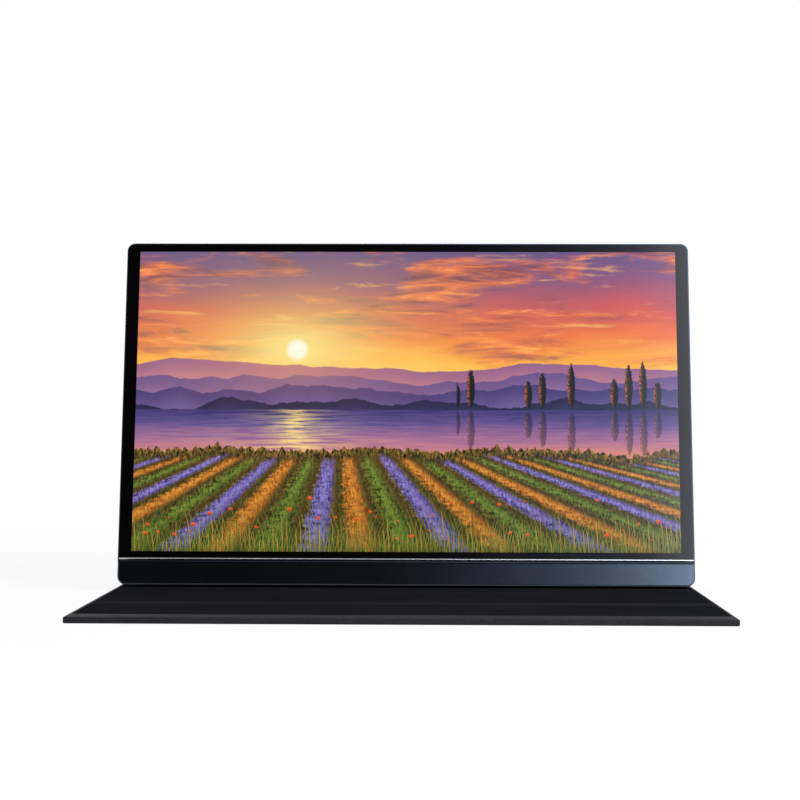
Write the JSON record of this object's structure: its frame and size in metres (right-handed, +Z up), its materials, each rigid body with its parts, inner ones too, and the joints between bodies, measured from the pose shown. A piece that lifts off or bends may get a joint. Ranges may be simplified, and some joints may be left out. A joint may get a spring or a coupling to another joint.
{
  "type": "portable monitor",
  "caption": "Slim portable monitor with a grooved metal chin, standing on its magnetic folio cover folded into a stand.",
  "frame": {"origin": "on the desk, straight below the middle of the edge where the monitor's front face meets its foot", "axes": "+X to the viewer's right across the screen, +Y away from the viewer, +Z up"},
  "size_m": [0.3615, 0.239, 0.2219],
  "materials": {
    "outer_leather": "fine-grained matte synthetic leather",
    "folio_board": "plain grey board",
    "microfibre": "matte short-nap microfibre",
    "magnet": "nickel plated",
    "plate_steel": "plain sheet",
    "case_metal": "dark blue-grey anodised, fine bead blast",
    "trim_metal": "polished",
    "front_glass": "black-bordered, polished",
    "tape": "black foam tape",
    "frame_plastic": "moulded",
    "cell_glass": "polarised glass",
    "film": "milky film",
    "guide_plastic": "clear",
    "tray_steel": "plain sheet",
    "board_green": "solder mask",
    "chip_black": "moulded epoxy",
    "ribbon_amber": "polyimide",
    "socket_steel": "rolled shell",
    "moulded_black": "fine texture",
    "screw_steel": "black zinc"
  },
  "bodies": {
    "lid": {"lid_outer_skin": "outer_leather", "lid_stiffener": "folio_board", "lid_lining": "microfibre", "lid_magnets": "magnet", "foot_plates": "plate_steel"},
    "spine": {"spine_outer_skin": "outer_leather", "spine_stiffener": "folio_board", "spine_lining": "microfibre", "lid_hinge_strip": "outer_leather"},
    "lower_back": {"lower_back_outer_skin": "outer_leather", "lower_back_stiffener": "folio_board", "lower_back_lining": "microfibre", "spine_hinge_strip": "outer_leather"},
    "upper_back": {"upper_back_outer_skin": "outer_leather", "upper_back_stiffener": "folio_board", "upper_back_lining": "microfibre", "case_magnets": "magnet", "stand_fold_strip": "outer_leather"},
    "monitor": {"rear_cover": "case_metal", "chin_bar": "case_metal", "trim_strip": "trim_metal", "cover_glass": "front_glass", "glass_tape": "tape", "mid_frame": "frame_plastic", "lcd_cell": "cell_glass", "diffuser_films": "film", "light_guide": "guide_plastic", "reflector": "film", "led_bar": "board_green", "panel_tray": "tray_steel", "tcon_board": "board_green", "panel_flex": "ribbon_amber", "main_board": "board_green", "board_chips": "chip_black", "signal_ribbon": "ribbon_amber", "key_ribbon": "ribbon_amber", "data_port_lower": "socket_steel", "data_port_upper": "socket_steel", "mini_video_port": "socket_steel", "audio_jack": "moulded_black", "key_board": "board_green", "key_switches": "moulded_black", "rocker_pin": "socket_steel", "speaker_left": "moulded_black", "speaker_right": "moulded_black", "speaker_leads": "moulded_black", "rear_magnets": "magnet", "foot_magnets": "magnet", "board_screws": "screw_steel", "cover_screws": "screw_steel"},
    "power_button": {"power_button": "case_metal"},
    "menu_rocker": {"menu_rocker": "case_metal"}
  },
  "joints": [
    {"name": "lid_fold", "type": "hinge", "parent": "lid", "child": "spine", "pos_m": [0, 0.05074, 0.0018], "axis": [1, 0, 0], "range_deg": [-90, 0], "deforming": ["lid_hinge_strip"]},
    {"name": "back_fold", "type": "hinge", "parent": "spine", "child": "lower_back", "pos_m": [0, 0.06394, 0.0018], "axis": [1, 0, 0], "range_deg": [-105.04, 0], "deforming": ["spine_hinge_strip"]},
    {"name": "stand_fold", "type": "hinge", "parent": "lower_back", "child": "upper_back", "pos_m": [0, 0.03177, 0.12155], "axis": [1, 0, 0], "range_deg": [0, 25.04], "deforming": ["stand_fold_strip"]},
    {"name": "monitor_lift", "type": "slide", "parent": "upper_back", "child": "monitor", "axis": [0, -0.9848, 0.1736], "range_m": [0, 0.08]},
    {"name": "power_press", "type": "slide", "parent": "monitor", "child": "power_button", "axis": [1, 0, 0], "range_m": [0, 0.00035], "stiffness_N_per_m": 1500},
    {"name": "menu_rock", "type": "hinge", "parent": "monitor", "child": "menu_rocker", "pos_m": [-0.1776, 0.01523, 0.05542], "axis": [0, -0.9848, 0.1736], "range_deg": [-2.5, 2.5], "stiffness_Nm_per_rad": 0.5}
  ],
  "couplings": [
    {"joint": "stand_fold", "follows": "back_fold", "ratio": -0.23837}
  ]
}
